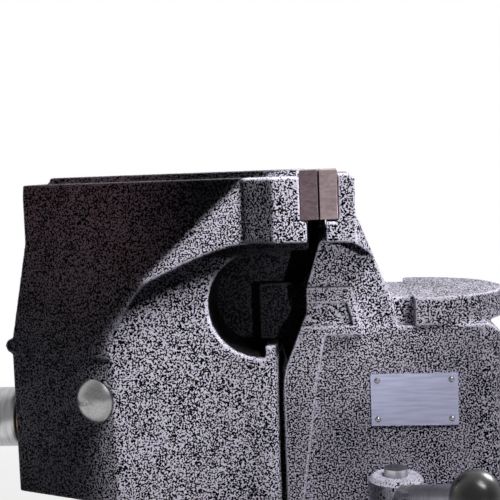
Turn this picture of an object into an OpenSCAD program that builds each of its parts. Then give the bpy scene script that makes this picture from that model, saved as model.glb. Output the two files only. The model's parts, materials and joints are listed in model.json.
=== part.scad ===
// Swivel bench vise: two cast jaws, a screw spindle with a sliding handle, and a turntable base.
// X runs along the spindle towards the back, Y across the jaws, Z up from the bench.
// The origin lies on the swivel axis, at the underside of the base.

/* [Jaws] */
// Width of the jaws and of their plates
jaw_w = 150; // [136:1:170]
// Height of a jaw plate
plate_h = 25; // [18:1:30]
// Thickness of a jaw plate
plate_t = 9.5; // [8:0.5:12]
// Gap between the two plates when the vise is closed
jaw_gap = 0.4; // [0.3:0.1:1]
// How far the front jaw opens
travel = 150; // [80:5:160]
// Distance from the swivel axis forward to the jaw faces
jaw_reach = 35; // [30:1:40]
// Height of the top of the jaw plates above the bench
jaw_height = 225; // [220:1:240]
// Width of the raised pad on top of the front jaw, at its wide end
pad_w = 96; // [60:1:110]

/* [Castings] */
// Width of the front jaw across its flat side walls
nose_w = 104; // [98:1:108]
// Width across the cheeks below the front jaw's wings
cheek_w = 124; // [116:1:128]
// Length of the front jaw from its jaw face to its front
nose_l = 178; // [172:1:195]
// Radius of the round throat below the jaws
throat_r = 28.5; // [24:0.5:30]
// Thickness of the rib in the middle of the throat
web_t = 24; // [14:1:30]
// Width of the fixed body across its side walls
body_w = 92; // [88:1:98]
// Length of the fixed body behind the jaw faces
body_l = 95; // [92:1:110]
// Width across the raised flange at the front of the fixed body
flange_w = 101; // [99:1:106]
// Radius of the round anvil
anvil_r = 48; // [47:1:54]
// Thickness of the anvil
anvil_t = 15; // [10:1:18]

/* [Slide and spindle] */
// Width of the slide bar
slide_w = 64; // [60:1:68]
// Height of the slide bar
slide_h = 60; // [56:1:62]
// Height of the spindle axis above the bench
spindle_height = 84; // [82:1:88]
// Radius of the spindle's thread
thread_r = 12; // [10:0.5:13]
// Distance from one turn of the thread to the next
thread_pitch = 5; // [4:0.5:6]
// Radius of the spindle's head
head_r = 17.5; // [16:0.5:19]
// Length of the handle bar
handle_l = 276; // [200:2:320]
// Radius of the handle bar
handle_r = 8; // [6:0.5:9]
// Radius of the handle's end knobs
handle_knob_r = 12.5; // [11:0.5:15]

/* [Swivel base] */
// Radius of the base plate
base_r = 95; // [93:1:99]
// Height of the base plate
base_h = 30; // [28:1:32]
// Radius of the circle that the bench bolts stand on
bolt_circle_r = 108; // [104:1:116]
// Radius of a bench bolt hole
bolt_hole_r = 6.5; // [4.5:0.5:8]
// Radius of the pivot pin
pivot_r = 15; // [10:0.5:18]
// Radius of the circle that the lock bolts stand on
lock_circle_r = 68; // [66:1:70]
// Radius of a lock bolt
lock_bolt_r = 6; // [5:0.5:7]
// Length of a lock lever
lever_l = 100; // [80:1:120]

/* [Hidden] */
$fn = 64;

// Clearances: turning fits, sliding faces and screws in their holes
turn_gap = 0.06;
slide_gap = 0.35;
screw_gap = 0.05;
// Longer than any part of the vise
reach = 600;

// Heights of the fixed body's round foot above the bench
foot_bottom = base_h + 0.3;
foot_top = base_h + 12;

// Height of the dome-headed keeper screws above the bench, and their heads
keeper_screw_rise = 20;
keeper_screw_z = spindle_height + keeper_screw_rise;
dome_r = 12;
dome_h = 6;
dome_rim = 2;

// Colours
paint = [0.22, 0.22, 0.24];
ground_steel = [0.66, 0.64, 0.62];
plain_steel = [0.55, 0.55, 0.56];
bronze = [0.70, 0.55, 0.32];
plate_metal = [0.78, 0.81, 0.86];

// Front jaw, measured from the jaw faces and down from the plate tops
head_top = -3;
pad_top = 0.5;
seat_x = -plate_t;
ledge_x = -plate_t + 3;
ledge_z = -plate_h - 1;
head_bottom = ledge_z - 10.5;
block_back_x = seat_x - 13.5;
flare_back_x = block_back_x - 15.5;
flare_front_x = flare_back_x + 8;
jaw_half = jaw_w / 2;
wall_half = nose_w / 2;
cheek_half = cheek_w / 2;
nose_front_x = -nose_l;
nose_top_x = nose_front_x + 13;
brow_z = -35;
bead_rise = 15;
bead_z = keeper_screw_z + dome_r + bead_rise - jaw_height;
bead_r = 4;
nose_bottom = foot_top + 4 - jaw_height;
pad_bend_x = -60;
pad_front_x = nose_top_x + 13;
pad_lean = 42;
throat_x = -32.5;
throat_top = head_bottom - 5.4;
throat_z = throat_top - throat_r;
throat_floor = throat_z - throat_r;
shoulder_x = -25;
shoulder_top = throat_floor + 3;
corner_r = 7;
lip_x = shoulder_x - 6;
lip_top = throat_floor + 6.5;

// Rib in the middle of the throat, which reaches back under the fixed jaw
web_top = ledge_z - 0.3;
web_front_x = throat_x - throat_r - 2;
web_step_x = throat_x + 4;
web_step_z = throat_z + 6.4;
web_back_x = 2;
rib_gap = 0.6;

// Facets of the nose: a point on the near side, the heading of the outward normal, its upward lean
brow_point = [-81, -cheek_half, -45];
brow_heading = 76;
brow_lean = 15.4;
side_point = [-116, -wall_half, -90];
side_heading = 72;
side_lean = 12.7;
taper_heading = 66.8;
// Lower edge of the cheeks, from the jaw head forward and down to the nose's side
cheek_edge = [
    [flare_front_x, head_bottom], [-45.6, head_bottom - 1.7], [-57.2, head_bottom - 5],
    [-69.4, head_bottom - 9.9], [-83.9, head_bottom - 16.3], [-93.7, head_bottom - 21.3],
    [-102.6, head_bottom - 31.9], [-110.3, head_bottom - 44.2], [-116.2, head_bottom - 53.3]
];
// How far the nose steps in below its bead, and a point on its narrower sides there
bead_step = 1;
low_taper_point = [side_point[0] + bead_step, -wall_half + bead_step / 2, bead_z - bead_r];
taper = 1 / tan(taper_heading);

// Slide bar, spindle and nut, in heights above the bench
nut_l = 40;
nut_x = body_l - nut_l / 2;
slide_half = slide_w / 2;
slide_bottom = spindle_height - slide_h / 2;
slide_top = spindle_height + slide_h / 2;
channel_half = thread_r + 5;
channel_top = spindle_height + thread_r + 4;
slide_back_x = travel + nut_x + 7;
keeper_x = -112;
keeper_t = 10;
channel_front_x = keeper_x - keeper_t / 2 - slide_gap;
keeper_top = keeper_screw_z + 7;
keeper_screw_r = 4;
keeper_bite = 3;
// Seat of a keeper screw's head, square to the tapering side and in line with the keeper
dome_y = (low_taper_point[1] + (low_taper_point[0] - keeper_x) * taper - channel_half * pow(taper, 2))
    / (1 + pow(taper, 2));
dome_x = keeper_x + (dome_y + channel_half) * taper;
keeper_screw_l = (-dome_y - channel_half) / sin(taper_heading) + keeper_bite;
journal_r = thread_r;
thread_depth = 2;
thread_end_x = slide_back_x - 8;
journal_tail = 20;
thread_start_x = keeper_x + journal_tail;
// Where the flanks of one thread ring lie, as shares of the pitch
thread_flanks = [0.15, 0.35, 0.65, 0.85];
washer_t = 3;
spindle_head_l = 36;
head_face_x = nose_front_x - washer_t - slide_gap;
handle_x = head_face_x - spindle_head_l / 2;
spigot_r = handle_r - 3;
spigot_l = 12;

// Fixed body
body_half = body_w / 2;
flange_half = flange_w / 2;
riser_half = body_half - 1;
fixed_top = -2.3;
fixed_ledge_x = plate_t - 6.5;
fixed_back_x = plate_t + 8.5;
fixed_bend_z = -22;
fixed_chamfer = 2.2;
wing_heading = 149;
riser_back_x = fixed_back_x + 19;
throat_nose_w = 50;
throat_nose_x = throat_x - 3;
throat_nose_top = web_step_z + 2;
throat_nose_low = throat_floor - 10;
anvil_top = -69;
anvil_bottom = anvil_top - anvil_t;
anvil_x = body_l + 6 - anvil_r;
anvil_front_x = anvil_x - 4.5;
anvil_neck_half = riser_half - 10;
body_corner_r = 14;
foot_r = base_r - 7;
wall_bottom = foot_top - jaw_height - 1;
flange_top = -62;
flange_low = -116;
flange_back_low = anvil_bottom - 4;
// Front edge of the fixed body, from the riser down to the foot
front_edge = [
    [-8.5, flange_top], [-9, -76], [-12.4, -84], [-21, -105.5], [-22.5, flange_low], [-22.5, wall_bottom]
];
// Back edge of the flange, from the foot up
flange_back = [
    [-14, wall_bottom], [-4.5, flange_low], [0.8, flange_back_low], [21, flange_back_low], [15.5, flange_top]
];
panel_top = -70.3;
panel_bottom = -82.5;
panel_top_x = 12.5;
panel_bottom_x = 15.8;
panel_sink = 4;
tunnel_half = slide_half + slide_gap;
tunnel_bottom = slide_bottom - slide_gap;
tunnel_top = slide_top + slide_gap;
nut_half = channel_half - 2;
nut_bolt_r = 4;
nut_bolt_head_r = 7;
nut_bolt_head_h = 7;
nut_bolt_z = foot_bottom + 6;
nut_bolt_spread = 22;
nut_bolt_bite = 14;

// Swivel base and lock
slot_half = lock_bolt_r + 0.5;
chamber_half = lock_bolt_r + 6;
chamber_bottom = 8;
chamber_top = base_h - 12;
base_chamfer = 6;
lug_r = 20;
lug_h = 16;
lug_count = 4;
pivot_bottom = 4;
pivot_top = tunnel_bottom - 3.6;
pivot_chamfer = 2;
bolt_head_half = lock_bolt_r + 4;
bolt_head_h = 8;
bolt_head_gap = 0.3;
bolt_top_l = 4;
lock_washer_t = 3;
hub_r = 14;
hub_h = 22;
hub_chamfer = 2;
hub_bottom = foot_top + lock_washer_t + 0.3;
arm_r = 5.5;
arm_start = lock_bolt_r + 3;
arm_tip_r = arm_r - 1.5;
arm_rise = 18;
lock_knob_r = 11;
lock_headings = [-75, 20];

// Jaw screws and nameplate
screw_r = 4;
screw_bite = 6;
screw_head_r = 6.5;
screw_head_h = 6;
screw_sink = 2;
screw_socket_r = 2.8;
screw_socket_h = 3.5;
screw_spare = 0.5;
screw_spread = 90;
name_w = 46;
name_h = 28;
name_t = 0.8;
name_x = 47;
name_z = -123.5;
rivet_r = 1.6;
rivet_inset = 3.5;

// Moves a shape from the jaw frame, at the jaw faces and plate tops, to the part's frame
module at_jaw() {
    translate([-jaw_reach, 0, jaw_height]) children();
}

// Moves a shape drawn along the spindle from the jaw faces to the part's frame
module at_spindle() {
    translate([-jaw_reach, 0, spindle_height]) children();
}

module both_sides() {
    children();
    mirror([0, 1, 0]) children();
}

// Extrudes an outline of x and z across the vise
module across(width) {
    translate([0, width / 2, 0]) rotate([90, 0, 0]) linear_extrude(width) children();
}

// A round bar along X from one place to another
module rod_x(from_x, to_x, r) {
    translate([from_x, 0, 0]) rotate([0, 90, 0]) cylinder(r = r, h = to_x - from_x);
}

// Everything outside a leaning facet, on both sides; heading turns from -X towards -Y
module facet(point, heading, lean = 0, top = reach) {
    both_sides()
        translate(point) rotate([0, -lean, 180 + heading])
            translate([0, -reach, -reach]) cube([reach, 2 * reach, reach + top]);
}

// What a rounded upright corner loses; the corner points towards +X and -Y
module upright_round(x, y, z_low, z_high, r) {
    both_sides() translate([x - r, y, z_low]) difference() {
        translate([0, -1, 0]) cube([r + 1, r + 1, z_high - z_low]);
        translate([0, r, -1]) cylinder(r = r, h = z_high - z_low + 2);
    }
}

// The same cut on both tapering sides of the nose
module nose_taper() {
    facet([side_point[0], -wall_half, 0], taper_heading);
}

// A round bar across the vise, in the jaw frame
module rod_y(x, z, r, length) {
    translate([x, 0, z]) rotate([90, 0, 0]) cylinder(r = r, h = length, center = true);
}

// Front jaw casting: nose, cheeks, jaw head, throat rib and slide bar
module nose_core() {
    difference() {
        union() {
            across(nose_w) polygon([
                [seat_x, head_top], [seat_x, ledge_z], [ledge_x, ledge_z], [ledge_x, throat_top],
                [throat_x, throat_top], [throat_x, shoulder_top], [shoulder_x, shoulder_top],
                [shoulder_x, nose_bottom], [nose_front_x, nose_bottom],
                [nose_front_x, bead_z], [nose_top_x, brow_z], [nose_top_x, head_top]
            ]);
            rod_y(nose_front_x, bead_z, bead_r, nose_w);
        }
        facet(side_point, side_heading, side_lean);
        facet(low_taper_point, taper_heading, 0, 0);
        upright_round(shoulder_x, -wall_half, nose_bottom - 1, shoulder_top + 1, corner_r);
    }
}

// Raised lip at the back of the throat's floor, on each side of the fixed body's blunt nose
module throat_lip() {
    lip_half = throat_nose_w / 2 + 4;
    difference() {
        both_sides() translate([lip_x, -wall_half, throat_floor - 3])
            cube([shoulder_x - lip_x, wall_half - lip_half, lip_top - throat_floor + 3]);
        upright_round(shoulder_x, -wall_half, throat_floor - 4, lip_top + 1, corner_r);
    }
}

module nose_cheeks() {
    difference() {
        across(cheek_w) polygon(concat(cheek_edge, [
            [nose_front_x, bead_z], [nose_top_x, brow_z], [nose_top_x, head_top], [flare_front_x, head_top]
        ]));
        facet(brow_point, brow_heading, brow_lean);
    }
}

module nose() {
    difference() {
        union() {
            nose_core();
            nose_cheeks();
        }
        rod_y(throat_x, throat_z, throat_r, cheek_w + 2);
        nose_taper();
    }
}

module front_jaw_head() {
    flare_step = 2;
    flare_root = 12;
    translate([0, 0, head_bottom]) linear_extrude(head_top - head_bottom) polygon([
        [seat_x, jaw_half], [block_back_x, jaw_half], [flare_back_x, cheek_half + flare_step],
        [flare_back_x - flare_root, wall_half - flare_root],
        [flare_back_x - flare_root, flare_root - wall_half],
        [flare_back_x, -cheek_half - flare_step], [block_back_x, -jaw_half], [seat_x, -jaw_half]
    ]);
    translate([block_back_x, -jaw_half, head_bottom])
        cube([ledge_x - block_back_x, jaw_w, ledge_z - head_bottom]);
}

module top_pad() {
    pad_edge = [pad_bend_x, -pad_w / 2, head_top];
    difference() {
        translate([0, 0, head_top - 1]) linear_extrude(pad_top - head_top + 1) polygon([
            [seat_x, pad_w / 2], [pad_bend_x, pad_w / 2], [pad_front_x, pad_w / 4],
            [pad_front_x, -pad_w / 4], [pad_bend_x, -pad_w / 2], [seat_x, -pad_w / 2]
        ]);
        facet(pad_edge, 90, pad_lean);
        facet(pad_edge, atan((pad_bend_x - pad_front_x) / (pad_w / 4)), pad_lean);
    }
}

module throat_web() {
    across(web_t) polygon([
        [web_front_x, head_bottom + 2], [ledge_x - 2, head_bottom + 2], [ledge_x - 2, web_top],
        [web_back_x, web_top], [web_back_x, web_step_z], [web_step_x, web_step_z],
        [web_step_x, throat_floor - 2], [web_front_x, throat_floor - 2]
    ]);
}

module slide_bar() {
    translate([shoulder_x - 20, -slide_half, slide_bottom - jaw_height])
        cube([slide_back_x - shoulder_x + 20, slide_w, slide_h]);
}

// Holes for the jaw plate's screws, a little deeper than the screws reach
module jaw_screw_holes(direction) {
    for (y = [-screw_spread / 2, screw_spread / 2])
        translate([0, y, -plate_h / 2]) rotate([0, 90 * direction, 0])
            cylinder(r = screw_r + screw_gap, h = plate_t + screw_bite + screw_spare);
}

module front_jaw() {
    color(paint) difference() {
        at_jaw() {
            nose();
            front_jaw_head();
            top_pad();
            throat_web();
            throat_lip();
            slide_bar();
        }
        at_jaw() jaw_screw_holes(-1);
        translate([channel_front_x - jaw_reach, -channel_half, 0])
            cube([slide_back_x - channel_front_x + 1, 2 * channel_half, channel_top]);
        translate([channel_front_x - jaw_reach, -channel_half, 0])
            cube([keeper_t + 2 * slide_gap, 2 * channel_half, keeper_top]);
        at_spindle() rod_x(nose_front_x - 10, channel_front_x + 1, journal_r + turn_gap);
        keeper_screw_places() translate([0, 0, -keeper_screw_l])
            cylinder(r = keeper_screw_r + screw_gap, h = keeper_screw_l + 1);
    }
}

// Jaw plate with its two sunk screw seats; direction is -1 on the front jaw and 1 on the fixed jaw
module jaw_plate(direction) {
    chamfer = 1.5;
    face = jaw_gap / 2;
    color(ground_steel) at_jaw() difference() {
        across(jaw_w) polygon([
            [direction * face, 0], [direction * plate_t, 0], [direction * plate_t, chamfer - plate_h],
            [direction * (plate_t - chamfer), -plate_h], [direction * (face + chamfer), -plate_h],
            [direction * face, chamfer - plate_h]
        ]);
        for (y = [-screw_spread / 2, screw_spread / 2])
            translate([0, y, -plate_h / 2]) rotate([0, 90 * direction, 0]) {
                cylinder(r = screw_r + screw_gap, h = plate_t + 1);
                cylinder(r = screw_head_r + screw_gap, h = screw_sink + screw_head_h);
            }
    }
}

// Two socket screws that hold a jaw plate
module jaw_screws(direction) {
    color(plain_steel) at_jaw()
        for (y = [-screw_spread / 2, screw_spread / 2])
            translate([0, y, -plate_h / 2]) rotate([0, 90 * direction, 0]) difference() {
                union() {
                    translate([0, 0, screw_sink]) cylinder(r = screw_head_r, h = screw_head_h);
                    translate([0, 0, screw_sink])
                        cylinder(r = screw_r, h = plate_t + screw_bite - screw_sink);
                }
                translate([0, 0, screw_sink - 1])
                    cylinder(r = screw_socket_r, h = screw_socket_h + 1, $fn = 6);
            }
}

module front_jaw_plate() {
    jaw_plate(-1);
}

module static_jaw_plate() {
    jaw_plate(1);
}

module front_jaw_screws() {
    jaw_screws(-1);
}

module static_jaw_screws() {
    jaw_screws(1);
}

// Fixed jaw: end blocks, wings that draw in to the riser, and the sloping back
module static_head() {
    difference() {
        across(jaw_w) polygon([
            [plate_t, fixed_top], [fixed_back_x - fixed_chamfer, fixed_top],
            [fixed_back_x, fixed_top - fixed_chamfer], [fixed_back_x, fixed_bend_z],
            [fixed_back_x + 10, head_bottom - 11], [fixed_back_x + 4, head_bottom - 4.5],
            [fixed_back_x - 2, head_bottom - 0.5],
            [fixed_ledge_x, head_bottom], [fixed_ledge_x, ledge_z], [plate_t, ledge_z]
        ]);
        facet([fixed_back_x, -jaw_half, 0], wing_heading);
    }
}

module riser() {
    across(2 * riser_half) polygon([
        [fixed_ledge_x - 4.5, head_bottom - 3], [fixed_ledge_x, head_bottom + 4],
        [fixed_back_x, fixed_bend_z], [riser_back_x, anvil_top - 2], [riser_back_x + 3, flange_back_low],
        [front_edge[2][0], flange_back_low], front_edge[1], front_edge[0]
    ]);
}

// Raised flange at the front, with a sunk panel open to the front on each side
module front_flange() {
    difference() {
        across(flange_w) polygon(concat(front_edge, flange_back));
        both_sides() translate([0, -flange_half, 0]) across(2 * panel_sink) polygon([
            [throat_x, panel_top], [panel_top_x, panel_top],
            [panel_bottom_x, panel_bottom], [throat_x, panel_bottom]
        ]);
    }
}

// Blunt nose that fills the back of the throat
module throat_nose() {
    across(throat_nose_w) polygon([
        [0, throat_nose_top + 12], [-12, throat_nose_top], [throat_nose_x, throat_nose_top],
        [throat_nose_x, throat_floor + 6], [shoulder_x + 1, throat_floor + 4],
        [shoulder_x + 5, throat_nose_low], [0, throat_nose_low]
    ]);
}

// Slot that takes the front jaw's rib when the vise closes
module rib_slot() {
    across(web_t + 2 * rib_gap) polygon([
        [throat_nose_x - 1, web_top + rib_gap], [web_back_x + rib_gap, web_top + rib_gap],
        [web_back_x + rib_gap, web_step_z - rib_gap], [web_step_x + rib_gap, web_step_z - rib_gap],
        [web_step_x + rib_gap, throat_floor], [throat_nose_x - 1, throat_floor]
    ]);
}

module anvil() {
    translate([0, 0, anvil_bottom]) intersection() {
        translate([anvil_x, 0, 0]) cylinder(r = anvil_r, h = anvil_t);
        translate([anvil_front_x, -anvil_r, 0]) cube([2 * anvil_r, 2 * anvil_r, anvil_t]);
    }
    translate([riser_back_x - 7, -anvil_neck_half, anvil_bottom - 2])
        cube([anvil_front_x + 7 - riser_back_x + 7, 2 * anvil_neck_half, anvil_t + 1]);
}

module body_walls() {
    difference() {
        across(body_w) polygon([
            [0, anvil_bottom], front_edge[2], front_edge[3], front_edge[4], front_edge[5],
            [body_l, wall_bottom], [body_l, anvil_bottom - 6], [body_l - 8, anvil_bottom]
        ]);
        upright_round(body_l, -body_half, -jaw_height, 0, body_corner_r);
    }
}

module static_body() {
    color(paint) difference() {
        union() {
            at_jaw() {
                static_head();
                riser();
                front_flange();
                throat_nose();
                anvil();
                body_walls();
            }
            translate([0, 0, foot_bottom]) cylinder(r = foot_r, h = foot_top - foot_bottom);
        }
        at_jaw() jaw_screw_holes(1);
        at_jaw() rib_slot();
        translate([-reach, -tunnel_half, tunnel_bottom])
            cube([2 * reach, 2 * tunnel_half, tunnel_top - tunnel_bottom]);
        cylinder(r = pivot_r + turn_gap, h = pivot_top + 0.3);
        for (side = [-1, 1])
            translate([0, side * lock_circle_r, 0]) cylinder(r = lock_bolt_r + screw_gap, h = 2 * foot_top);
        nut_bolt_places() {
            cylinder(r = nut_bolt_r + screw_gap, h = spindle_height);
            cylinder(r = nut_bolt_head_r + screw_gap, h = nut_bolt_z + nut_bolt_head_h);
        }
    }
}

// The upright axes of the two bolts that hold the nut, at bench height
module nut_bolt_places() {
    for (shift = [-nut_bolt_spread / 2, nut_bolt_spread / 2])
        translate([nut_x - jaw_reach + shift, 0, 0]) children();
}

// Bronze nut that the spindle screws through, standing on the floor of the tunnel
module spindle_nut() {
    color(bronze) difference() {
        translate([nut_x - jaw_reach - nut_l / 2, -nut_half, tunnel_bottom])
            cube([nut_l, 2 * nut_half, channel_top - 1 - tunnel_bottom]);
        at_spindle() rod_x(nut_x - nut_l, nut_x + nut_l, thread_r + turn_gap);
        nut_bolt_places() cylinder(r = nut_bolt_r + screw_gap, h = tunnel_bottom + nut_bolt_bite);
    }
}

module nut_bolts() {
    color(plain_steel) nut_bolt_places() difference() {
        union() {
            translate([0, 0, nut_bolt_z]) cylinder(r = nut_bolt_head_r, h = nut_bolt_head_h);
            translate([0, 0, nut_bolt_z])
                cylinder(r = nut_bolt_r, h = tunnel_bottom + nut_bolt_bite - 1 - nut_bolt_z);
        }
        translate([0, 0, nut_bolt_z - 1]) cylinder(r = nut_bolt_r * 0.9, h = 5, $fn = 6);
    }
}

// Bare plate on the near wall of the body
module nameplate() {
    color(plate_metal) at_jaw()
        translate([name_x - name_w / 2, -body_half - name_t, name_z - name_h / 2])
            difference() {
                cube([name_w, name_t, name_h]);
                rivet_places() translate([0, 1, 0]) rotate([90, 0, 0]) cylinder(r = rivet_r * 0.6, h = 2);
            }
}

module rivet_places() {
    for (x = [rivet_inset, name_w - rivet_inset], z = [rivet_inset, name_h - rivet_inset])
        translate([x, 0, z]) children();
}

module nameplate_rivets() {
    color(plain_steel) at_jaw()
        translate([name_x - name_w / 2, -body_half - name_t, name_z - name_h / 2])
            rivet_places() rotate([90, 0, 0]) {
                translate([0, 0, -name_t]) cylinder(r = rivet_r * 0.6 - 0.02, h = name_t);
                intersection() {
                    sphere(r = rivet_r);
                    cylinder(r = rivet_r, h = rivet_r);
                }
            }
}

// Base plate with its round T-slot, bench lugs and pivot seat
module swivel_base() {
    color(paint) difference() {
        union() {
            rotate_extrude() polygon([
                [0, 0], [base_r, 0], [base_r, base_h - base_chamfer],
                [base_r - base_chamfer, base_h], [0, base_h]
            ]);
            for (index = [0 : lug_count - 1])
                rotate([0, 0, (index + 0.5) * 360 / lug_count]) {
                    translate([bolt_circle_r, 0, 0]) cylinder(r = lug_r, h = lug_h);
                    translate([0, -lug_r, 0]) cube([bolt_circle_r, 2 * lug_r, lug_h]);
                }
        }
        for (index = [0 : lug_count - 1])
            rotate([0, 0, (index + 0.5) * 360 / lug_count]) translate([bolt_circle_r, 0, -1])
                cylinder(r = bolt_hole_r, h = lug_h + 2);
        rotate_extrude() polygon([
            [lock_circle_r - chamber_half, chamber_bottom], [lock_circle_r + chamber_half, chamber_bottom],
            [lock_circle_r + chamber_half, chamber_top], [lock_circle_r + slot_half, chamber_top],
            [lock_circle_r + slot_half, base_h + 1], [lock_circle_r - slot_half, base_h + 1],
            [lock_circle_r - slot_half, chamber_top], [lock_circle_r - chamber_half, chamber_top]
        ]);
        translate([lock_circle_r, 0, chamber_bottom]) cylinder(r = bolt_head_half * 1.45, h = base_h);
        translate([0, 0, pivot_bottom]) cylinder(r = pivot_r, h = base_h);
    }
}

module pivot_pin() {
    color(plain_steel) translate([0, 0, pivot_bottom]) {
        cylinder(r = pivot_r, h = pivot_top - pivot_bottom - pivot_chamfer);
        translate([0, 0, pivot_top - pivot_bottom - pivot_chamfer])
            cylinder(r1 = pivot_r, r2 = pivot_r - pivot_chamfer, h = pivot_chamfer);
    }
}

module lock_bolts() {
    color(plain_steel) for (side = [-1, 1]) translate([0, side * lock_circle_r, 0]) {
        translate([-bolt_head_half, -bolt_head_half, chamber_top - bolt_head_gap - bolt_head_h])
            cube([2 * bolt_head_half, 2 * bolt_head_half, bolt_head_h]);
        translate([0, 0, chamber_top - 1])
            cylinder(r = lock_bolt_r, h = hub_bottom + hub_h + bolt_top_l + 1 - chamber_top);
    }
}

module lock_washers() {
    color(plain_steel) for (side = [-1, 1]) translate([0, side * lock_circle_r, foot_top]) difference() {
        cylinder(r = hub_r - 1, h = lock_washer_t);
        translate([0, 0, -1]) cylinder(r = lock_bolt_r + screw_gap, h = lock_washer_t + 2);
    }
}

// Moves a shape to a lock lever's own axis, with +X along the lever; side 0 is near, 1 is far
module at_lock(side) {
    translate([0, (2 * side - 1) * lock_circle_r, hub_bottom]) rotate([0, 0, lock_headings[side]]) children();
}

// Where the arm leaves the hub, along its own rising axis
module at_arm() {
    translate([0, 0, hub_h / 2]) rotate([0, 90 - arm_rise, 0]) children();
}

module lock_hub(side) {
    color(paint) at_lock(side) difference() {
        union() {
            cylinder(r = hub_r, h = hub_h - hub_chamfer);
            translate([0, 0, hub_h - hub_chamfer])
                cylinder(r1 = hub_r, r2 = hub_r - hub_chamfer, h = hub_chamfer);
        }
        translate([0, 0, -1]) cylinder(r = lock_bolt_r + turn_gap, h = hub_h + 2);
        at_arm() translate([0, 0, arm_start]) cylinder(r = arm_r + screw_gap, h = hub_r * 2);
    }
}

module lock_arm(side) {
    color(plain_steel) at_lock(side) at_arm() {
        translate([0, 0, arm_start]) cylinder(r = arm_r, h = lever_l - arm_start);
        translate([0, 0, lever_l]) cylinder(r = arm_tip_r, h = lock_knob_r);
    }
}

module lock_knob(side) {
    color(paint) at_lock(side) at_arm() translate([0, 0, lever_l]) difference() {
        translate([0, 0, lock_knob_r - 2]) sphere(r = lock_knob_r);
        translate([0, 0, -lock_knob_r]) cylinder(r = lock_knob_r, h = lock_knob_r);
        translate([0, 0, -1]) cylinder(r = arm_tip_r + screw_gap, h = lock_knob_r + 1.1);
    }
}

module left_lock_hub() {
    lock_hub(0);
}

module left_lock_arm() {
    lock_arm(0);
}

module left_lock_knob() {
    lock_knob(0);
}

module right_lock_hub() {
    lock_hub(1);
}

module right_lock_arm() {
    lock_arm(1);
}

module right_lock_knob() {
    lock_knob(1);
}

// The seats of the keeper screws on the tapering sides of the nose, with +Z pointing outwards
module keeper_screw_places() {
    both_sides()
        translate([dome_x - jaw_reach, dome_y, keeper_screw_z])
            rotate([0, 90, 180 + taper_heading]) children();
}

// Forked plate in the nose that holds the spindle by a groove
module spindle_keeper() {
    groove_r = journal_r - 2;
    color(plain_steel) difference() {
        translate([keeper_x - keeper_t / 2 - jaw_reach, -channel_half, slide_bottom + 4])
            cube([keeper_t, 2 * channel_half, keeper_top - slide_bottom - 4]);
        at_spindle() rod_x(keeper_x - keeper_t, keeper_x + keeper_t, groove_r + slide_gap);
        translate([keeper_x - keeper_t - jaw_reach, -groove_r - slide_gap, 0])
            cube([2 * keeper_t, 2 * groove_r + 2 * slide_gap, spindle_height]);
        keeper_screw_places() translate([0, 0, -keeper_screw_l - screw_gap])
            cylinder(r = keeper_screw_r + screw_gap, h = keeper_screw_l);
    }
}

// Two dome-headed screws through the sides of the nose, into the keeper
module keeper_screws() {
    sphere_r = (dome_r * dome_r + dome_h * dome_h) / (2 * dome_h);
    color(plain_steel) keeper_screw_places() {
        translate([0, 0, -keeper_screw_l]) cylinder(r = keeper_screw_r, h = keeper_screw_l + 1);
        cylinder(r = dome_r, h = dome_rim);
        translate([0, 0, dome_rim]) intersection() {
            translate([0, 0, dome_h - sphere_r]) sphere(r = sphere_r);
            cylinder(r = dome_r, h = dome_h);
        }
    }
}

module thrust_washer() {
    color(bronze) at_spindle() difference() {
        rod_x(nose_front_x - washer_t, nose_front_x, head_r - 2);
        rod_x(nose_front_x - 2 * washer_t, nose_front_x + 1, journal_r + turn_gap);
    }
}

// Spindle: head with the handle hole, journal, keeper groove and ring-cut thread
module spindle() {
    turns = floor((thread_end_x - thread_start_x) / thread_pitch);
    root_r = thread_r - thread_depth;
    groove_half = keeper_t / 2 + slide_gap;
    color(plain_steel) at_spindle() difference() {
        rotate([0, 90, 0]) rotate_extrude() polygon(concat(
            [
                [0, head_face_x - spindle_head_l], [head_r - 5, head_face_x - spindle_head_l],
                [head_r, head_face_x - spindle_head_l + 5], [head_r, head_face_x - 3],
                [head_r - 3, head_face_x], [journal_r, head_face_x],
                [journal_r, keeper_x - groove_half], [journal_r - 2, keeper_x - groove_half],
                [journal_r - 2, keeper_x + groove_half], [journal_r, keeper_x + groove_half],
                [journal_r, thread_start_x - 1], [root_r, thread_start_x]
            ],
            [
                for (turn = [0 : turns - 1], step = [0 : 3])
                    [
                        step == 0 || step == 3 ? root_r : thread_r,
                        thread_start_x + (turn + thread_flanks[step]) * thread_pitch
                    ]
            ],
            [[root_r, thread_end_x], [0, thread_end_x]]
        ));
        translate([handle_x, 0, 0]) rotate([90, 0, 0])
            cylinder(r = handle_r + turn_gap, h = 3 * head_r, center = true);
    }
}

// Moves a shape to the handle's own axis, with +Z along the bar towards the near side
module at_handle() {
    at_spindle() translate([handle_x, 0, 0]) rotate([90, 0, 0]) children();
}

module handle_bar() {
    color(plain_steel) at_handle() {
        cylinder(r = handle_r, h = handle_l, center = true);
        cylinder(r = spigot_r, h = handle_l + 2 * spigot_l, center = true);
    }
}

module handle_knob() {
    color(plain_steel) at_handle() translate([0, 0, handle_l / 2]) difference() {
        translate([0, 0, handle_knob_r - 2.5]) sphere(r = handle_knob_r);
        translate([0, 0, -handle_knob_r]) cylinder(r = handle_knob_r, h = handle_knob_r);
        translate([0, 0, -1]) cylinder(r = spigot_r + screw_gap, h = spigot_l + 1.1);
    }
}

module near_handle_knob() {
    handle_knob();
}

module far_handle_knob() {
    mirror([0, 1, 0]) handle_knob();
}

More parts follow.
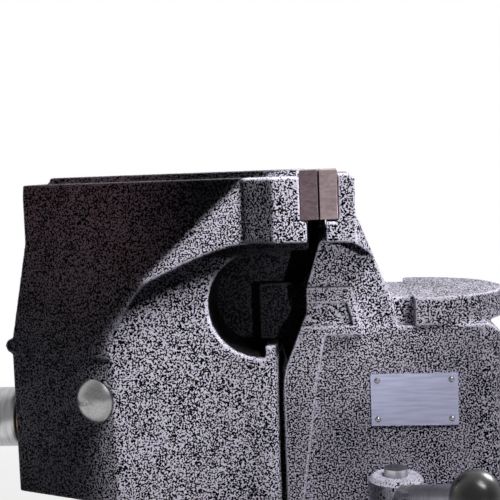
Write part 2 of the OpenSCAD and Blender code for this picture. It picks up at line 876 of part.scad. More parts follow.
swivel_base();
pivot_pin();
static_body();
static_jaw_plate();
static_jaw_screws();
nameplate();
nameplate_rivets();
spindle_nut();
nut_bolts();
lock_bolts();
lock_washers();
left_lock_hub();
left_lock_arm();
left_lock_knob();
right_lock_hub();
right_lock_arm();
right_lock_knob();
front_jaw();
front_jaw_plate();
front_jaw_screws();
spindle_keeper();
keeper_screws();
thrust_washer();
spindle();
handle_bar();
near_handle_knob();
far_handle_knob();
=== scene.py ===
import json
import math

import bmesh
import bpy
from mathutils import Matrix, Vector


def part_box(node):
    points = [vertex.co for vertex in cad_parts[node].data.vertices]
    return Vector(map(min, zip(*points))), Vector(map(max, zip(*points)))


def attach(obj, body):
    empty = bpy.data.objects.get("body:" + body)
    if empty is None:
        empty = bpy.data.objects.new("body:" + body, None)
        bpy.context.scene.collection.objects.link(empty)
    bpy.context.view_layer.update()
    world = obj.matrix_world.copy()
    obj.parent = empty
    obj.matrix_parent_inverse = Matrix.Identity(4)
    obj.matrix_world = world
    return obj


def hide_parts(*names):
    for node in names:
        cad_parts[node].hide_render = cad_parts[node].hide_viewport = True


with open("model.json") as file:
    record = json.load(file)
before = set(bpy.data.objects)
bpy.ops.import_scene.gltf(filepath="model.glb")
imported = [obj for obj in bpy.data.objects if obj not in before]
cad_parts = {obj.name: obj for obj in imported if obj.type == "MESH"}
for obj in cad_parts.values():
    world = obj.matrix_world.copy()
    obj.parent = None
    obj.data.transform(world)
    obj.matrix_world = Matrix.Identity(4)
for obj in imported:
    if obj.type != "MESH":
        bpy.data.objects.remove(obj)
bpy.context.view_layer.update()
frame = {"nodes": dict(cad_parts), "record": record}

NODES = frame["nodes"]
MM = 0.001

# Camera: place, lens and sensor in millimetres, and how far it sees in metres
CAMERA_PLACE = Vector((-27.3, -564.6, 226.6))
CAMERA_YAW = math.radians(5.01)
CAMERA_PITCH = math.radians(4.72)
CAMERA_ROLL = math.radians(2.12)
CAMERA_LENS = 70.68
CAMERA_SENSOR = 36.0
CAMERA_FAR = 50.0

# Castings: size of the remesh cells, and how far their edges are rounded
CASTINGS = ("front_jaw", "static_body", "swivel_base")
CAST_VOXEL = 0.9 * MM
CAST_SMOOTHING = 3
CAST_FACTOR = 0.5

# Broken edges of the machined pieces and of the lock levers' hubs
MACHINED = ("static_jaw_screws", "front_jaw_screws", "nut_bolts", "lock_bolts", "lock_washers",
            "spindle_nut", "pivot_pin", "thrust_washer", "handle_bar", "spindle_keeper")
HUBS = ("left_lock_hub", "right_lock_hub")
MACHINED_EDGE = 0.5 * MM
HUB_EDGE = 1.0 * MM
SHARP_ANGLE = math.radians(40)

# Room: its even light, how bright its front looks in reflections, and where it turns white along Y
ROOM_LIGHT = 0.007
ROOM_FRONT = 0.45
ROOM_TURN = (-0.4, 0.3)

# Floor, in metres: pale near the vise, and white from WHITE_R on
FLOOR_R = 8.0
FLOOR_PALE = 0.80
FLOOR_WEAR = 0.04
FLOOR_BOUNCE = 0.002
FLOOR_GLOW = 0.70
SHADE_R = 0.22
WHITE_R = 0.70

# Key light, a bank of small lamps, in metres; it is weaker on the far side of the fade
KEY_DIRECTION = Vector((0.45, -0.34, 0.83)).normalized()
KEY_DISTANCE = 1.5
KEY_TARGET = Vector((0.0, -0.05, 0.15))
KEY_COLUMNS = (-1, 0, 1)
KEY_ROWS = (-2, -1, 0, 1, 2)
KEY_STEP = 0.10
KEY_RISE = 0.14
KEY_HALF_ANGLE = math.radians(26)
KEY_BLEND = 0.8
KEY_LAMP_R = 0.003
KEY_POWER = 212.0
KEY_FADE = (-0.05, 0.03)
KEY_FAR_SHARE = 0.38

# Flag in the key light that shades the nose, from the crease and the wall's edge to the nose's front
KEY_EDGE = 0.0005
CREASE_HIGH = Vector((-0.076, -0.062, 0.2185))
CREASE_LOW = Vector((-0.135, -0.062, 0.163))
CREASE_CORNER = Vector((-0.152, -0.0535, 0.140))
CREASE_FOOT = Vector((-0.152, -0.0535, 0.100))
NOSE_HIGH = Vector((-0.217, -0.0535, 0.220))
NOSE_FOOT = Vector((-0.217, -0.0535, 0.100))

# Faint warm light on the nose's upper face, in metres
SHEEN_PLACE = Vector((-0.50, -0.70, 0.75))
SHEEN_TARGET = Vector((-0.178, -0.06, 0.226))
SHEEN_HALF_ANGLE = math.radians(2.2)
SHEEN_LAMP_R = 0.05
SHEEN_POWER = 8.0
SHEEN_COLOUR = (1.0, 0.62, 0.66)

# Low soft light on the fixed body, in metres
SIDE_PLACE = Vector((0.55, -1.35, 0.20))
SIDE_TARGET = Vector((-0.022, -0.04, 0.156))
SIDE_HALF_ANGLE = math.radians(2.1)
SIDE_LAMP_R = 0.04
SIDE_POWER = 62.0

# Soft boxes behind the vise, in metres
BOX_TARGET = Vector((0, 0, 0.15))
RIM_PLACE = Vector((0.9, 0.9, 1.0))
RIM_SIZE = 0.5
RIM_POWER = 22
FILL_PLACE = Vector((-1.4, 1.0, 0.6))
FILL_SIZE = 0.6
FILL_POWER = 10

# Jaw plates
TOOTH_PITCH = 2.5 * MM
TOOTH_DEPTH = 0.6 * MM
TOOTH_MARGIN = 1.6 * MM
PLATE_EDGE = 1.6 * MM
SCREW_SPREAD = 90 * MM
SCREW_SEAT_R = 6.55 * MM
SCREW_SEAT_DEPTH = 8 * MM
SCREW_HOLE_R = 4.05 * MM

# Spindle
THREAD_R = 12 * MM
THREAD_DEPTH = 2 * MM
THREAD_PITCH = 5 * MM
THREAD_SEGMENTS = 32
THREAD_RUNOUT = 2 * MM
SPINDLE_SEGMENTS = 96
SPINDLE_SMOOTH = math.radians(30)
HEAD_LENGTH = 36 * MM
HEAD_EDGE = 4 * MM
HEAD_EDGE_STEPS = 6
HEAD_BACK_EDGE = 3 * MM
HEAD_BACK_STEP = 1 * MM
HANDLE_HOLE_R = 8.06 * MM
KEEPER_GROOVE_DEPTH = 2 * MM
KEEPER_GAP = 0.3 * MM
JOURNAL_TAIL = 15 * MM
END_CHAMFER = 2 * MM

# One pitch of the thread: places as shares of the pitch, and whether they lie on its crest
THREAD_SECTION = ((0.0, False), (0.15, False), (0.35, True), (0.65, True), (0.85, False), (1.0, False))

# Cutting drums: sides, and how far they reach past the cut piece
DRUM_SEGMENTS = 64
CUT_REACH = 5 * MM

# Points closer than this are one, in metres
SAME_PLACE = 1e-6

# The span that most of a noise fills
NOISE_SPAN = (0.3, 0.7)

# Vein enamel: noise cells per metre, the level above which silver shows, and how soft its edge is
VEIN_SCALE = 1130.0
VEIN_LEVEL = 0.512
VEIN_EDGE = 0.014
VEIN_BLACK = (0.004, 0.004, 0.006)
VEIN_SILVER = (0.66, 0.63, 0.75)
BLACK_ROUGH = 0.5
SILVER_ROUGH = 0.38
PAINT_SPECULAR = 0.02

# More or less silver in patches, more on outer edges as edge wear and a painted highlight, and the share of
# silver that is left where shade is painted
PATCH_SCALE = 60.0
PATCH_SHIFT = 0.02
RIM_POINTINESS = (0.506, 0.53)
RIM_WEAR_AND_HIGHLIGHT = 0.12
PAINTED_SHADE_SILVER = 0.07

# Uneven casting below the enamel
WAVE_SCALE = 140.0

# Places on the castings where shade is painted into the colour, in millimetres: the front jaw's round throat,
# the web across it and a strip above it under the wing, and the fixed body's blunt nose; the painted shade
# fades out over a soft edge
THROAT_AXIS = Vector((-67.5, 0, 154.6))
THROAT_R = 28.5
THROAT_RIM = (0.6, 1.4)
THROAT_HALF = 49.0
WEB_HALF = 14.0
WEB_TOP = 216.0
STRIP_HALF = 54.0
STRIP_TOP = 205.0
STRIP_DROP = 6.0
STRIP_SPREAD = 12.0
BODY_NOSE_HALF = 27.0
BODY_NOSE_X = -44.0
BODY_NOSE_LOW = 112.0
SOFT_EDGE = 2.0
FINE_EDGE = 1.0

# Bare metals: tool marks per metre, their depth in millimetres, their share of the tone, and stains
MARK_SCALE = 60.0
MARK_RELIEF = 0.05
MARK_SHARE = 0.75
STAIN_SCALE = 45.0
ROUGH_SPREAD = 0.07
METALS = {
    "ground_steel": {"dark": (0.125, 0.09, 0.10), "light": (0.20, 0.15, 0.165), "rough": 0.40,
                     "stretch": (6, 1, 14)},
    # A lighter copy of ground steel, for the fixed jaw's plate
    "lighter_ground_steel": {"dark": (0.25, 0.19, 0.20), "light": (0.36, 0.28, 0.295), "rough": 0.40,
                   "stretch": (6, 1, 14)},
    "plate_metal": {"dark": (0.32, 0.325, 0.45), "light": (0.42, 0.425, 0.58), "rough": 0.46,
                    "stretch": (1, 1, 12)},
    "bright_steel": {"dark": (0.26, 0.255, 0.26), "light": (0.38, 0.375, 0.38), "rough": 0.24,
                     "stretch": (3, 3, 3), "scale": 300.0, "relief": 0.02},
    "black_steel": {"dark": (0.045, 0.045, 0.05), "light": (0.10, 0.10, 0.11), "rough": 0.38,
                    "stretch": (4, 4, 4), "scale": 200.0},
    "zinc_steel": {"dark": (0.33, 0.335, 0.35), "light": (0.48, 0.485, 0.50), "rough": 0.30,
                   "stretch": (8, 8, 1)},
    "turned_steel": {"dark": (0.34, 0.34, 0.35), "light": (0.56, 0.56, 0.57), "rough": 0.34,
                     "stretch": (14, 1, 1)},
    "bronze": {"dark": (0.42, 0.27, 0.12), "light": (0.66, 0.46, 0.22), "rough": 0.36,
               "stretch": (1, 6, 6)},
}

# Black plastic
PLASTIC_DARK = (0.010, 0.010, 0.011)
PLASTIC_LIGHT = (0.022, 0.022, 0.024)
PLASTIC_ROUGH = (0.24, 0.38)
GRAIN_SCALE = 900.0
SMEAR_SCALE = 70.0


class Shader:
    """A Principled material whose nodes are added by short calls."""

    def __init__(self, name):
        self.material = bpy.data.materials.new(name)
        self.material.use_nodes = True
        self.tree = self.material.node_tree
        self.bsdf = self.tree.nodes["Principled BSDF"]
        self.place = self.node("ShaderNodeTexCoord").outputs["Object"]

    def plug(self, node, inputs):
        for key, value in inputs.items():
            if isinstance(value, bpy.types.NodeSocket):
                self.tree.links.new(value, node.inputs[key])
            else:
                node.inputs[key].default_value = value

    def node(self, kind, inputs=None, **settings):
        node = self.tree.nodes.new(kind)
        for key, value in settings.items():
            setattr(node, key, value)
        self.plug(node, inputs or {})
        return node

    def axes(self):
        node = self.node("ShaderNodeSeparateXYZ", {"Vector": self.place})
        return node.outputs["X"], node.outputs["Y"], node.outputs["Z"]

    def surface(self, **inputs):
        self.plug(self.bsdf, {key.replace("_", " "): value for key, value in inputs.items()})

    def noise(self, scale, detail, stretch=None, distortion=0.0):
        place = self.place
        if stretch:
            place = self.node("ShaderNodeMapping", {"Vector": place, "Scale": stretch}).outputs["Vector"]
        node = self.node("ShaderNodeTexNoise", {"Vector": place, "Scale": scale, "Detail": detail,
                                                "Distortion": distortion})
        return node.outputs["Fac"]

    def ranged(self, value, low, high, to_low=0.0, to_high=1.0):
        node = self.node("ShaderNodeMapRange", {"Value": value, "From Min": low, "From Max": high,
                                                "To Min": to_low, "To Max": to_high},
                         interpolation_type="SMOOTHSTEP")
        return node.outputs["Result"]

    def past(self, value, start, end):
        """0 up to start and 1 from end, both in millimetres."""
        return self.ranged(value, start * MM, end * MM)

    def math(self, operation, first, second):
        return self.node("ShaderNodeMath", {0: first, 1: second}, operation=operation).outputs["Value"]

    def largest(self, first, *others):
        for other in others:
            first = self.math("MAXIMUM", first, other)
        return first

    def length(self, first, second):
        squares = self.math("ADD", self.math("MULTIPLY", first, first), self.math("MULTIPLY", second, second))
        return self.math("SQRT", squares, 0.0)

    def mixed(self, factor, first, second):
        node = self.node("ShaderNodeMix", {"Factor": factor}, data_type="RGBA")
        self.plug_colour(node.inputs[6], first)
        self.plug_colour(node.inputs[7], second)
        return node.outputs[2]

    def plug_colour(self, socket, value):
        if isinstance(value, bpy.types.NodeSocket):
            self.tree.links.new(value, socket)
        else:
            socket.default_value = (*value, 1.0)

    def bump(self, height, distance, strength, below=None):
        inputs = {"Height": height, "Distance": distance, "Strength": strength}
        if below is not None:
            inputs["Normal"] = below
        return self.node("ShaderNodeBump", inputs).outputs["Normal"]


class Light(Shader):
    """The nodes of a lamp or of the world, added by the same short calls."""

    def __init__(self, light, direction):
        light.use_nodes = True
        self.tree = light.node_tree
        self.place = self.node("ShaderNodeTexCoord").outputs[direction]


def vein_paint(name, unshaded=None):
    """Vein paint, a silver network over black on a slightly uneven casting.

    The mask function, if given, adds nodes that are 0 where shade is painted into the colour and 1 elsewhere;
    where it is 0 the silver shrinks to a small share.
    """
    paint = Shader(name)
    cells = paint.noise(VEIN_SCALE, detail=0.6, distortion=0.4)
    patches = paint.noise(PATCH_SCALE, detail=2.0)
    shifted = paint.math("ADD", cells, paint.ranged(patches, *NOISE_SPAN, -PATCH_SHIFT, PATCH_SHIFT))
    # More silver on convex edges: partly edge wear, partly a painted highlight
    rim = paint.node("ShaderNodeNewGeometry").outputs["Pointiness"]
    shifted = paint.math("ADD", shifted, paint.ranged(rim, *RIM_POINTINESS, 0.0, RIM_WEAR_AND_HIGHLIGHT))
    silver = paint.ranged(shifted, VEIN_LEVEL - VEIN_EDGE, VEIN_LEVEL + VEIN_EDGE)
    # Painted shade: where the mask is 0 little silver is left, so the throat and the strip under the wing
    # look dark
    if unshaded:
        silver = paint.math("MULTIPLY", silver, paint.ranged(unshaded(paint), 0.0, 1.0, PAINTED_SHADE_SILVER, 1.0))
    waves = paint.bump(paint.noise(WAVE_SCALE, detail=2.0), distance=0.5 * MM, strength=0.15)
    paint.surface(Base_Color=paint.mixed(silver, VEIN_BLACK, VEIN_SILVER),
                  Roughness=paint.ranged(silver, 0.0, 1.0, BLACK_ROUGH, SILVER_ROUGH),
                  Specular_IOR_Level=PAINT_SPECULAR,
                  Normal=paint.bump(cells, distance=0.35 * MM, strength=0.35, below=waves))
    return paint.material


def jaw_unshaded(paint):
    """0 where shade is painted: in the front jaw's round throat, on the web across it and on the strip above
    it under the wing; 1 elsewhere.
    """
    x, y, z = paint.axes()
    along = paint.math("SUBTRACT", x, THROAT_AXIS.x * MM)
    upward = paint.math("SUBTRACT", z, THROAT_AXIS.z * MM)
    aside = paint.math("ABSOLUTE", along, 0.0)
    flat = paint.math("ABSOLUTE", y, 0.0)
    off_throat = paint.largest(
        paint.past(paint.length(along, upward), THROAT_R + THROAT_RIM[0], THROAT_R + THROAT_RIM[1]),
        paint.past(flat, THROAT_HALF - SOFT_EDGE, THROAT_HALF),
    )
    off_web = paint.largest(
        paint.past(flat, WEB_HALF, WEB_HALF + FINE_EDGE),
        paint.past(z, WEB_TOP, WEB_TOP + SOFT_EDGE),
        paint.past(aside, THROAT_R + FINE_EDGE, THROAT_R + FINE_EDGE + SOFT_EDGE),
    )
    off_strip = paint.largest(
        paint.past(upward, THROAT_R, THROAT_R - STRIP_DROP),
        paint.past(z, STRIP_TOP, STRIP_TOP + SOFT_EDGE),
        paint.past(flat, STRIP_HALF, STRIP_HALF + SOFT_EDGE),
        paint.past(aside, THROAT_R - STRIP_DROP, THROAT_R + STRIP_SPREAD),
    )
    return paint.math("MINIMUM", paint.math("MINIMUM", off_throat, off_web), off_strip)


def body_unshaded(paint):
    """0 where shade is painted on the fixed body's blunt nose in the throat, 1 elsewhere."""
    x, y, z = paint.axes()
    behind = paint.past(x, BODY_NOSE_X - SOFT_EDGE, BODY_NOSE_X)
    beside = paint.past(paint.math("ABSOLUTE", y, 0.0), BODY_NOSE_HALF - FINE_EDGE, BODY_NOSE_HALF)
    below = paint.past(z, BODY_NOSE_LOW, BODY_NOSE_LOW - SOFT_EDGE)
    return paint.largest(behind, beside, below)


def brushed_metal(name, dark, light, rough, stretch, scale=MARK_SCALE, relief=MARK_RELIEF):
    """Bare metal with fine tool marks drawn out along the axes where stretch is small."""
    metal = Shader(name)
    marks = metal.noise(scale, detail=5.0, stretch=stretch)
    stains = metal.noise(STAIN_SCALE, detail=3.0)
    tone = metal.math("ADD", metal.math("MULTIPLY", marks, MARK_SHARE),
                      metal.math("MULTIPLY", stains, 1 - MARK_SHARE))
    metal.surface(Base_Color=metal.mixed(metal.ranged(tone, *NOISE_SPAN), dark, light),
                  Metallic=1.0,
                  Roughness=metal.ranged(stains, *NOISE_SPAN, rough - ROUGH_SPREAD, rough + ROUGH_SPREAD),
                  Normal=metal.bump(marks, distance=relief * MM, strength=0.5))
    return metal.material


def black_plastic():
    plastic = Shader("black_plastic")
    grain = plastic.noise(GRAIN_SCALE, detail=2.0)
    smears = plastic.noise(SMEAR_SCALE, detail=2.0)
    plastic.surface(Base_Color=plastic.mixed(smears, PLASTIC_DARK, PLASTIC_LIGHT),
                    Roughness=plastic.ranged(smears, *NOISE_SPAN, *PLASTIC_ROUGH),
                    Normal=plastic.bump(grain, distance=0.05 * MM, strength=0.3))
    return plastic.material


def make_materials():
    made = {"hammered_paint": vein_paint("hammered_paint")}
    for name, finish in METALS.items():
        made[name] = brushed_metal(name, **finish)
    made["black_plastic"] = black_plastic()
    return made


def dress_node(name, material):
    """Gives a CAD node its finish."""
    NODES[name].material_slots[0].material = material


def round_casting(name):
    """Rounds the edges of a casting, as sand casting and thick enamel leave them."""
    obj = NODES[name]
    remesh = obj.modifiers.new("casting", "REMESH")
    remesh.mode = "VOXEL"
    remesh.voxel_size = CAST_VOXEL
    remesh.use_smooth_shade = True
    smooth = obj.modifiers.new("rounding", "SMOOTH")
    smooth.factor = CAST_FACTOR
    smooth.iterations = CAST_SMOOTHING


def break_edges(name, width):
    """Breaks the sharp edges of a machined piece."""
    bevel = NODES[name].modifiers.new("edges", "BEVEL")
    bevel.width = width
    bevel.segments = 2
    bevel.limit_method = "ANGLE"
    bevel.angle_limit = SHARP_ANGLE
    bevel.harden_normals = False


def add_object(name, data):
    obj = bpy.data.objects.new(name, data)
    bpy.context.scene.collection.objects.link(obj)
    return obj


def finished_mesh(bm, name):
    """The mesh that a bmesh holds; the bmesh is freed."""
    mesh = bpy.data.meshes.new(name)
    bm.to_mesh(mesh)
    bm.free()
    return mesh


def make_piece(name, mesh, body, material, replaced):
    """Adds a new piece that rides on a body and stands for some CAD nodes."""
    obj = add_object(name, mesh)
    mesh.materials.append(material)
    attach(obj, body)
    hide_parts(*replaced)
    return obj


def round_x(x, radius, angle):
    """A point at an angle round the X axis."""
    return Vector((x, radius * math.cos(angle), radius * math.sin(angle)))


def lathe(bm, centre, profile, segments):
    """Turns a profile of (x, radius) about an axis along X through the centre, with closed ends."""
    angles = [turn * math.tau / segments for turn in range(segments)]
    rings = [[bm.verts.new(centre + round_x(x, radius, angle)) for angle in angles] for x, radius in profile]
    for ring, after in zip(rings, rings[1:]):
        for turn in range(segments):
            beyond = (turn + 1) % segments
            bm.faces.new((ring[turn], ring[beyond], after[beyond], after[turn]))
    bm.faces.new(rings[0])
    bm.faces.new(reversed(rings[-1]))


def drum(name, start, end, radius):
    """A closed cylinder between two points, for cutting."""
    axis = end - start
    bm = bmesh.new()
    bmesh.ops.create_cone(bm, cap_ends=True, segments=DRUM_SEGMENTS, radius1=radius, radius2=radius,
                          depth=axis.length)
    turn = Vector((0, 0, 1)).rotation_difference(axis)
    bm.transform(Matrix.Translation((start + end) / 2) @ turn.to_matrix().to_4x4())
    return add_object(name, finished_mesh(bm, name))


def cut_away(mesh, cutters):
    """The mesh less the cutters, which are deleted."""
    obj = add_object("cutting", mesh)
    for cutter in cutters:
        boolean = obj.modifiers.new(cutter.name, "BOOLEAN")
        boolean.operation = "DIFFERENCE"
        boolean.solver = "EXACT"
        boolean.object = cutter
    depsgraph = bpy.context.evaluated_depsgraph_get()
    result = bpy.data.meshes.new_from_object(obj.evaluated_get(depsgraph))
    for spare in [obj, *cutters]:
        bpy.data.objects.remove(spare)
    return result


def plate_faces(low, high, facing):
    """Where a plate's grip face and its back lie along X; facing is 1 where the grip face looks to +X."""
    return (high.x, low.x) if facing > 0 else (low.x, high.x)


def tooth_places(low, high):
    """Places along one side of a plate: its ends, and half tooth pitches between its margins."""
    span = high - low - 2 * TOOTH_MARGIN
    steps = 2 * round(span / TOOTH_PITCH)
    return [low, *(low + TOOTH_MARGIN + span * step / steps for step in range(steps + 1)), high]


def lies_at(edge, y, z):
    """Whether both ends of an edge have this y and z."""
    return all(abs(vert.co.y - y) < SAME_PLACE and abs(vert.co.z - z) < SAME_PLACE for vert in edge.verts)


def plate_mesh(low, high, facing):
    """A jaw plate with pyramid teeth on its grip face; its outer edges are marked for a bevel."""
    bm = bmesh.new()
    weight = bm.edges.layers.float.new("bevel_weight_edge")
    grip, back = plate_faces(low, high, facing)
    ys = tooth_places(low.y, high.y)
    zs = tooth_places(low.z, high.z)
    grid = []
    for i, y in enumerate(ys):
        column = []
        for j, z in enumerate(zs):
            border = i in (0, len(ys) - 1) or j in (0, len(zs) - 1)
            tip = i % 2 == 0 and j % 2 == 0
            depth = 0.0 if border or tip else TOOTH_DEPTH
            column.append(bm.verts.new((grip - facing * depth, y, z)))
        grid.append(column)
    for i in range(len(ys) - 1):
        for j in range(len(zs) - 1):
            bm.faces.new((grid[i][j], grid[i + 1][j], grid[i + 1][j + 1], grid[i][j + 1]))
    rim = [edge for edge in bm.edges if edge.is_boundary]
    made = bmesh.ops.extrude_edge_only(bm, edges=rim)["geom"]
    back_verts = [item for item in made if isinstance(item, bmesh.types.BMVert)]
    back_edges = [item for item in made if isinstance(item, bmesh.types.BMEdge)]
    for vert in back_verts:
        vert.co.x = back
    bmesh.ops.contextual_create(bm, geom=back_edges)
    corners = [(y, z) for y in (low.y, high.y) for z in (low.z, high.z)]
    for edge in bm.edges:
        at_corner = any(lies_at(edge, y, z) for y, z in corners)
        on_rim = edge in rim or edge in back_edges
        edge[weight] = 1.0 if on_rim or at_corner else 0.0
    bmesh.ops.recalc_face_normals(bm, faces=bm.faces)
    return finished_mesh(bm, "plate")


def make_jaw_plate(node, body, facing, material):
    """A jaw plate with teeth, and with seats and holes for its two screws."""
    low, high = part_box(node)
    mesh = plate_mesh(low, high, facing)
    middle = (low.z + high.z) / 2
    grip, back = plate_faces(low, high, facing)
    cutters = []
    for side in (-1, 1):
        y = side * SCREW_SPREAD / 2
        outside = Vector((grip + facing * CUT_REACH, y, middle))
        seat = Vector((grip - facing * SCREW_SEAT_DEPTH, y, middle))
        beyond = Vector((back - facing * CUT_REACH, y, middle))
        cutters.append(drum("seat", outside, seat, SCREW_SEAT_R))
        cutters.append(drum("hole", outside, beyond, SCREW_HOLE_R))
    piece = make_piece(node + "_toothed", cut_away(mesh, cutters), body, material, [node])
    bevel = piece.modifiers.new("edges", "BEVEL")
    bevel.width = PLATE_EDGE
    bevel.segments = 3
    bevel.limit_method = "WEIGHT"


def add_thread(bm, centre, start, end):
    """One right-handed helical thread between two places along X."""
    root = THREAD_R - THREAD_DEPTH
    steps = int((end - start) / THREAD_PITCH - 1) * THREAD_SEGMENTS
    lines = []
    for share, on_crest in THREAD_SECTION:
        radius = THREAD_R if on_crest else root
        line = []
        for step in range(steps + 1):
            angle = step * math.tau / THREAD_SEGMENTS
            x = start + (step / THREAD_SEGMENTS + share) * THREAD_PITCH
            line.append(bm.verts.new(centre + round_x(x, radius, angle)))
        lines.append(line)
    for line, after in zip(lines, lines[1:]):
        for step in range(steps):
            bm.faces.new((line[step], line[step + 1], after[step + 1], after[step]))


def head_edge(front, radius):
    """The rounded front edge of the spindle's head, as (x, radius) from its front face on."""
    turns = [step * math.pi / 2 / HEAD_EDGE_STEPS for step in range(HEAD_EDGE_STEPS + 1)]
    return [(front + HEAD_EDGE * (1 - math.cos(turn)), radius - HEAD_EDGE * (1 - math.sin(turn)))
            for turn in turns]


def make_spindle(material):
    """The spindle with a rounded head, the handle's hole, the keeper's groove and a helical thread."""
    low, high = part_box("spindle")
    keeper_low, keeper_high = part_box("spindle_keeper")
    centre = Vector((0, (low.y + high.y) / 2, (low.z + high.z) / 2))
    head_r = (high.z - low.z) / 2
    shoulder = low.x + HEAD_LENGTH
    root = THREAD_R - THREAD_DEPTH
    groove_r = THREAD_R - KEEPER_GROOVE_DEPTH
    groove_start = keeper_low.x - KEEPER_GAP
    groove_end = keeper_high.x + KEEPER_GAP
    thread_start = keeper_high.x + JOURNAL_TAIL
    thread_end = high.x - END_CHAMFER
    profile = [
        *head_edge(low.x, head_r),
        (shoulder - HEAD_BACK_EDGE, head_r),
        (shoulder - HEAD_BACK_STEP, head_r - HEAD_BACK_STEP),
        (shoulder, head_r - HEAD_BACK_EDGE),
        (shoulder, THREAD_R),
        (groove_start, THREAD_R),
        (groove_start, groove_r),
        (groove_end, groove_r),
        (groove_end, THREAD_R),
        (thread_start, THREAD_R),
        (thread_start + THREAD_RUNOUT, root),
        (thread_end, root),
        (high.x, root - END_CHAMFER),
    ]
    bm = bmesh.new()
    lathe(bm, centre, profile, SPINDLE_SEGMENTS)
    bmesh.ops.recalc_face_normals(bm, faces=bm.faces)
    shaft = finished_mesh(bm, "shaft")
    hole_x = low.x + HEAD_LENGTH / 2
    near_end, far_end = (centre + Vector((hole_x, side * 2 * head_r, 0)) for side in (-1, 1))
    shaft = cut_away(shaft, [drum("handle_hole", near_end, far_end, HANDLE_HOLE_R)])
    bm = bmesh.new()
    bm.from_mesh(shaft)
    add_thread(bm, centre, thread_start - THREAD_PITCH / 2, thread_end)
    bmesh.ops.remove_doubles(bm, verts=bm.verts, dist=SAME_PLACE)
    mesh = finished_mesh(bm, "spindle_screw")
    mesh.shade_smooth()
    mesh.set_sharp_from_angle(angle=SPINDLE_SMOOTH)
    make_piece("spindle_screw", mesh, "spindle", material, ["spindle"])


def make_camera():
    camera = bpy.data.cameras.new("camera")
    camera.lens = CAMERA_LENS
    camera.sensor_width = CAMERA_SENSOR
    camera.sensor_fit = "HORIZONTAL"
    camera.clip_end = CAMERA_FAR
    forward = Vector((
        -math.sin(CAMERA_YAW) * math.cos(CAMERA_PITCH),
        math.cos(CAMERA_YAW) * math.cos(CAMERA_PITCH),
        -math.sin(CAMERA_PITCH),
    ))
    right = Vector((math.cos(CAMERA_YAW), math.sin(CAMERA_YAW), 0))
    up = right.cross(forward)
    rolled_right = right * math.cos(CAMERA_ROLL) - up * math.sin(CAMERA_ROLL)
    rolled_up = right * math.sin(CAMERA_ROLL) + up * math.cos(CAMERA_ROLL)
    place = Matrix((rolled_right, rolled_up, -forward)).transposed().to_4x4()
    place.translation = CAMERA_PLACE * MM
    obj = add_object("camera", camera)
    obj.matrix_world = place
    bpy.context.scene.camera = obj


def make_soft_box(name, place, size, power):
    """A square soft box at a place that looks at the vise."""
    lamp = bpy.data.lights.new(name, "AREA")
    lamp.shape = "RECTANGLE"
    lamp.size = size
    lamp.size_y = size
    lamp.energy = power
    obj = add_object(name, lamp)
    obj.location = place
    obj.rotation_euler = (BOX_TARGET - place).to_track_quat("-Z", "Y").to_euler()


def seen_rays(shader):
    """Two values: 1 for rays from the eye, and 1 for rays in reflections or through glass."""
    path = shader.node("ShaderNodeLightPath")
    mirrored = shader.math("MAXIMUM", path.outputs["Is Glossy Ray"], path.outputs["Is Transmission Ray"])
    return path.outputs["Is Camera Ray"], mirrored


def make_world():
    """A dim, even room that looks white to the eye, and white behind the vise in reflections."""
    world = bpy.data.worlds.new("studio")
    room = Light(world, "Generated")
    eye, mirrored = seen_rays(room)
    behind = room.ranged(room.axes()[1], *ROOM_TURN, ROOM_FRONT, 1.0)
    shown = room.math("MAXIMUM", eye, room.math("MULTIPLY", mirrored, behind))
    strength = room.math("MAXIMUM", shown, ROOM_LIGHT)
    room.plug(room.tree.nodes["Background"], {"Color": (1.0, 1.0, 1.0, 1.0), "Strength": strength})
    bpy.context.scene.world = world


def make_spot(name, place, target, half_angle, blend, radius, power):
    """A small round lamp whose beam is aimed at a target; its own X follows the world's."""
    lamp = bpy.data.lights.new(name, "SPOT")
    lamp.spot_size = 2 * half_angle
    lamp.spot_blend = blend
    lamp.shadow_soft_size = radius
    lamp.energy = power
    back = -(target - place).normalized()
    side = (Vector((1, 0, 0)) - back * back.x).normalized()
    turn = Matrix((side, back.cross(side), back)).transposed().to_4x4()
    obj = add_object(name, lamp)
    obj.matrix_world = Matrix.Translation(place) @ turn
    return obj


def make_sheen():
    """A faint warm light on the nose's upper face."""
    spot = make_spot("sheen", SHEEN_PLACE, SHEEN_TARGET, SHEEN_HALF_ANGLE, blend=1.0,
                     radius=SHEEN_LAMP_R, power=SHEEN_POWER)
    spot.data.color = SHEEN_COLOUR


def make_side():
    """A low soft light under the fixed jaw's overhang."""
    make_spot("side", SIDE_PLACE, SIDE_TARGET, SIDE_HALF_ANGLE, blend=1.0,
              radius=SIDE_LAMP_R, power=SIDE_POWER)


def in_beam(spot, point):
    """Where a point lies across a beam, as its UV: (0.5, 0.5) is the axis."""
    local = spot.matrix_world.inverted() @ point
    scale = 0.5 / math.tan(spot.data.spot_size / 2)
    return Vector((0.5 - scale * local.x / local.z, 0.5 - scale * local.y / local.z))


def right_of(beam, spot, high, low):
    """1 to the right of the line across a beam from one point down to another, 0 to its left."""
    start = in_beam(spot, high)
    along = (in_beam(spot, low) - start).normalized()
    u, v = beam.axes()[:2]
    across = beam.math("SUBTRACT", beam.math("MULTIPLY", beam.math("SUBTRACT", v, start.y), along.x),
                       beam.math("MULTIPLY", beam.math("SUBTRACT", u, start.x), along.y))
    return beam.ranged(across, -KEY_EDGE, KEY_EDGE)


def past_flag(beam, spot):
    """0 on the nose, 1 behind its crease and wall edge and in front of it."""
    behind_cheek = right_of(beam, spot, CREASE_HIGH, CREASE_LOW)
    behind_wall = right_of(beam, spot, CREASE_CORNER, CREASE_FOOT)
    before_nose = beam.math("SUBTRACT", 1.0, right_of(beam, spot, NOSE_HIGH, NOSE_FOOT))
    return beam.math("MAXIMUM", beam.math("MULTIPLY", behind_cheek, behind_wall), before_nose)


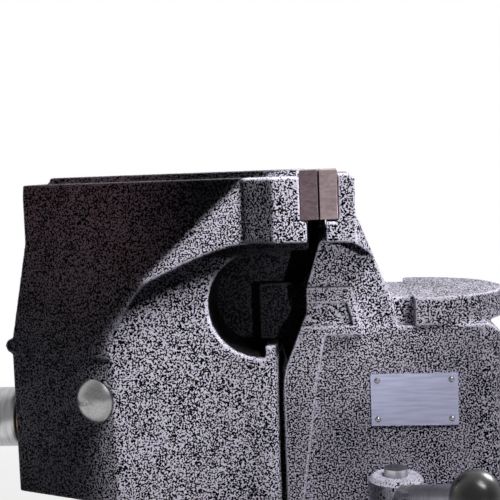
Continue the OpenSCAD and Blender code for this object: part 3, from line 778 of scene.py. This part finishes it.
def make_key():
    """A bank of small lamps from the upper right, whose beams fade to the right; a flag shades the nose."""
    right = KEY_DIRECTION.cross(Vector((0, 0, 1))).normalized()
    up = right.cross(KEY_DIRECTION)
    middle = CREASE_LOW + KEY_DIRECTION * KEY_DISTANCE
    power = KEY_POWER / (len(KEY_COLUMNS) * len(KEY_ROWS))
    for column in KEY_COLUMNS:
        for row in KEY_ROWS:
            place = middle + right * column * KEY_STEP + up * row * KEY_RISE
            spot = make_spot("key", place, KEY_TARGET, KEY_HALF_ANGLE, KEY_BLEND, KEY_LAMP_R, power)
            beam = Light(spot.data, "UV")
            fade_ends = [in_beam(spot, Vector((x, CREASE_LOW.y, CREASE_HIGH.z))).x for x in KEY_FADE]
            fade = beam.ranged(beam.axes()[0], *fade_ends, 1.0, KEY_FAR_SHARE)
            strength = beam.math("MULTIPLY", fade, past_flag(beam, spot))
            beam.plug(beam.tree.nodes["Emission"], {"Strength": strength})


def grey(level):
    return (level, level, level)


def floor_material():
    """Pale to the eye and in reflections, and white away from the vise; it throws little light back."""
    floor = Shader("floor")
    eye, mirrored = seen_rays(floor)
    seen = floor.math("MAXIMUM", eye, mirrored)
    wear = floor.noise(3.0, detail=4.0)
    pale = floor.mixed(wear, grey(FLOOR_PALE * (1 - FLOOR_WEAR)), grey(FLOOR_PALE * (1 + FLOOR_WEAR)))
    floor.surface(Base_Color=floor.mixed(seen, grey(FLOOR_BOUNCE), pale), Roughness=0.9,
                  Specular_IOR_Level=0.0)
    x, y = floor.axes()[:2]
    white = floor.ranged(floor.length(x, y), SHADE_R, WHITE_R, FLOOR_GLOW, 1.0)
    glow = floor.math("MULTIPLY", seen, white)
    light = floor.node("ShaderNodeEmission", {"Strength": 1.0})
    shown = floor.node("ShaderNodeMixShader", {0: glow, 1: floor.bsdf.outputs[0], 2: light.outputs[0]})
    floor.tree.links.new(shown.outputs[0], floor.tree.nodes["Material Output"].inputs["Surface"])
    return floor.material


def make_floor():
    bm = bmesh.new()
    bmesh.ops.create_circle(bm, cap_ends=True, segments=64, radius=FLOOR_R)
    mesh = finished_mesh(bm, "floor")
    mesh.materials.append(floor_material())
    floor = add_object("floor", mesh)


make_camera()
make_world()
make_floor()
make_key()
make_sheen()
make_side()
make_soft_box("rim", RIM_PLACE, RIM_SIZE, RIM_POWER)
make_soft_box("fill", FILL_PLACE, FILL_SIZE, FILL_POWER)

materials = make_materials()
for subpart in frame["record"]["subparts"]:
    dress_node(subpart["node"], materials[subpart["material_slot"]])
# Shade is painted into the front jaw's throat and the strip under its wing, and into the fixed body's nose in
# the throat
dress_node("front_jaw", vein_paint("front_jaw_paint", jaw_unshaded))
dress_node("static_body", vein_paint("static_body_paint", body_unshaded))
for casting in CASTINGS:
    round_casting(casting)
for machined in MACHINED:
    break_edges(machined, MACHINED_EDGE)
for hub in HUBS:
    break_edges(hub, HUB_EDGE)
make_jaw_plate("front_jaw_plate", "slide", 1, materials["ground_steel"])
make_jaw_plate("static_jaw_plate", "turret", -1, materials["lighter_ground_steel"])
make_spindle(materials["turned_steel"])

bpy.context.scene.view_settings.view_transform = "Standard"
